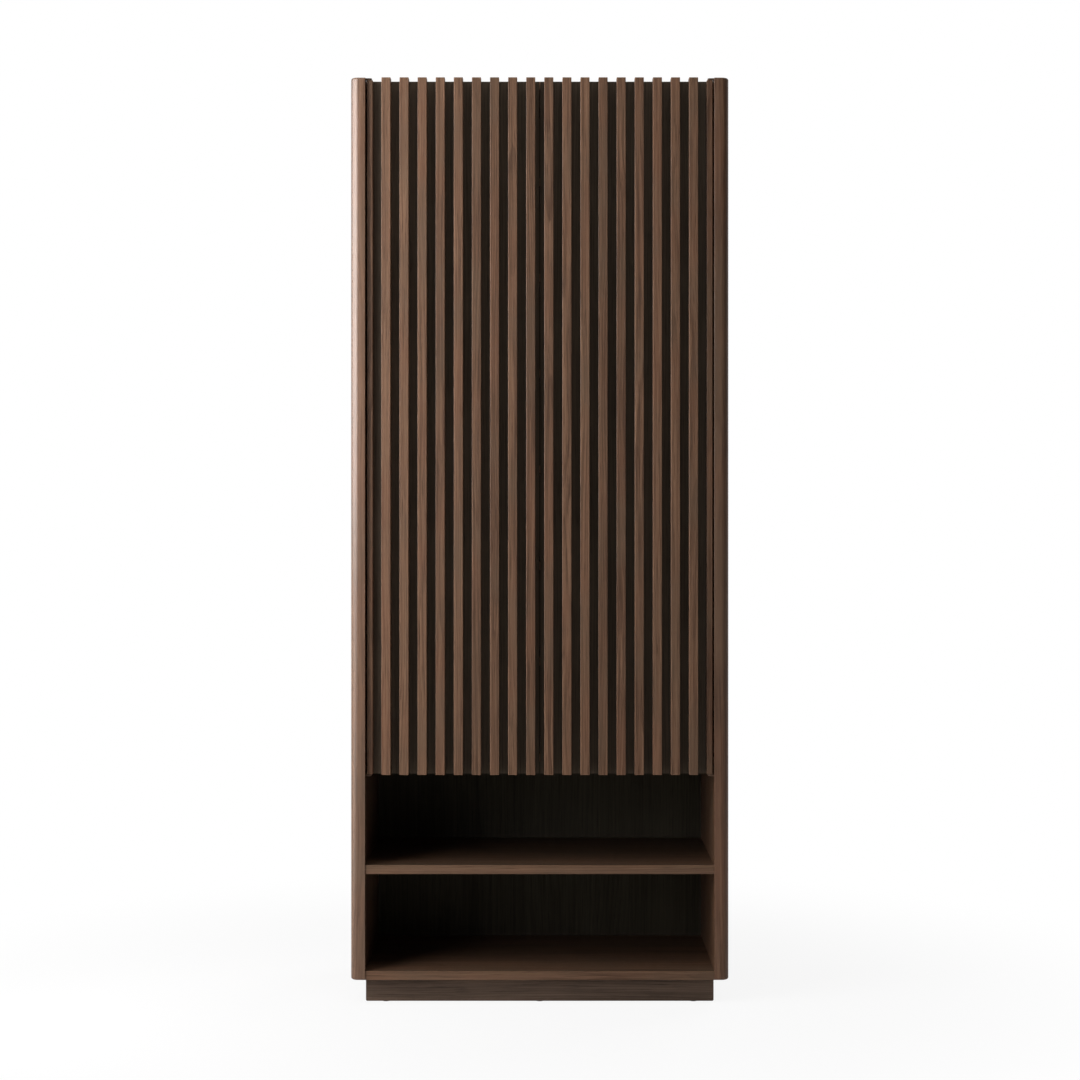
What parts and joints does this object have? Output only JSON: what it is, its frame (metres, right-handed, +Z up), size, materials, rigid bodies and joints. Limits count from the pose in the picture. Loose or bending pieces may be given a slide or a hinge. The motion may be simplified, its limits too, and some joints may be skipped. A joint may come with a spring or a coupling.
{
  "type": "slatted door cupboard",
  "caption": "Tall free-standing hall cupboard: slatted swing doors above open compartments, round-edged side panels and a set-back plinth.",
  "frame": {"origin": "on the floor, under the middle of the cupboard", "axes": "+X to the viewer's right when facing the doors, +Y to the back, +Z up"},
  "size_m": [0.75, 0.38, 1.836],
  "materials": {
    "walnut_side": "walnut grain running upright, satin",
    "walnut_slat": "walnut grain running upright, satin, each slat a little different",
    "walnut_board": "walnut grain running across, satin",
    "walnut_shelf": "walnut grain running across, matt",
    "walnut_plinth": "walnut grain running across, matt",
    "dark_door_panel": "dark brown stain with faint upright grain, matt",
    "dark_back": "dark brown-grey with fine upright grain, matt",
    "bronze_steel": "walnut-brown bronze paint, satin",
    "bright_steel": "nickel plated steel",
    "white_nylon": "natural nylon",
    "brown_plastic": "moulded, fine texture",
    "soft_bumper": "soft translucent dot",
    "glide_plastic": "moulded, worn smooth underneath",
    "beech": "plain beech, fluted and glued"
  },
  "bodies": {
    "carcass": {"adjustable_shelf_1": "walnut_shelf", "adjustable_shelf_2": "walnut_shelf", "adjustable_shelf_3": "walnut_shelf", "adjustable_shelf_4": "walnut_shelf", "adjustable_shelf_5": "walnut_shelf", "adjustable_shelf_6": "walnut_shelf", "bottom_board": "walnut_board", "bracket_screws": "bronze_steel", "divider_board": "walnut_board", "door_bumpers": "soft_bumper", "dowels": "beech", "floor_glides": "glide_plastic", "left_lower_pivot_bracket": "bronze_steel", "left_magnetic_catch": "brown_plastic", "left_side_panel": "walnut_side", "left_upper_pivot_bracket": "bronze_steel", "lower_back_panel": "dark_back", "open_shelf": "walnut_board", "pivot_pins": "bright_steel", "plinth_back_rail": "walnut_plinth", "plinth_front_rail": "walnut_plinth", "plinth_left_rail": "walnut_plinth", "plinth_right_rail": "walnut_plinth", "right_lower_pivot_bracket": "bronze_steel", "right_magnetic_catch": "brown_plastic", "right_side_panel": "walnut_side", "right_upper_pivot_bracket": "bronze_steel", "shelf_supports": "bright_steel", "top_board": "walnut_board", "upper_back_panel": "dark_back"},
    "left_door": {"left_door_panel": "dark_door_panel", "left_end_slat": "walnut_slat", "left_pivot_bushes": "white_nylon", "left_slat_1": "walnut_slat", "left_slat_2": "walnut_slat", "left_slat_3": "walnut_slat", "left_slat_4": "walnut_slat", "left_slat_5": "walnut_slat", "left_slat_6": "walnut_slat", "left_slat_7": "walnut_slat", "left_slat_8": "walnut_slat", "left_slat_9": "walnut_slat", "left_strike_plate": "bright_steel"},
    "right_door": {"right_door_panel": "dark_door_panel", "right_end_slat": "walnut_slat", "right_pivot_bushes": "white_nylon", "right_slat_1": "walnut_slat", "right_slat_2": "walnut_slat", "right_slat_3": "walnut_slat", "right_slat_4": "walnut_slat", "right_slat_5": "walnut_slat", "right_slat_6": "walnut_slat", "right_slat_7": "walnut_slat", "right_slat_8": "walnut_slat", "right_slat_9": "walnut_slat", "right_strike_plate": "bright_steel"}
  },
  "joints": [
    {"name": "left_door_hinge", "type": "hinge", "parent": "carcass", "child": "left_door", "pos_m": [-0.3385, -0.175, 0.453], "axis": [0, 0, -1], "range_deg": [0, 105]},
    {"name": "right_door_hinge", "type": "hinge", "parent": "carcass", "child": "right_door", "pos_m": [0.3385, -0.175, 0.453], "axis": [0, 0, 1], "range_deg": [0, 105]}
  ]
}
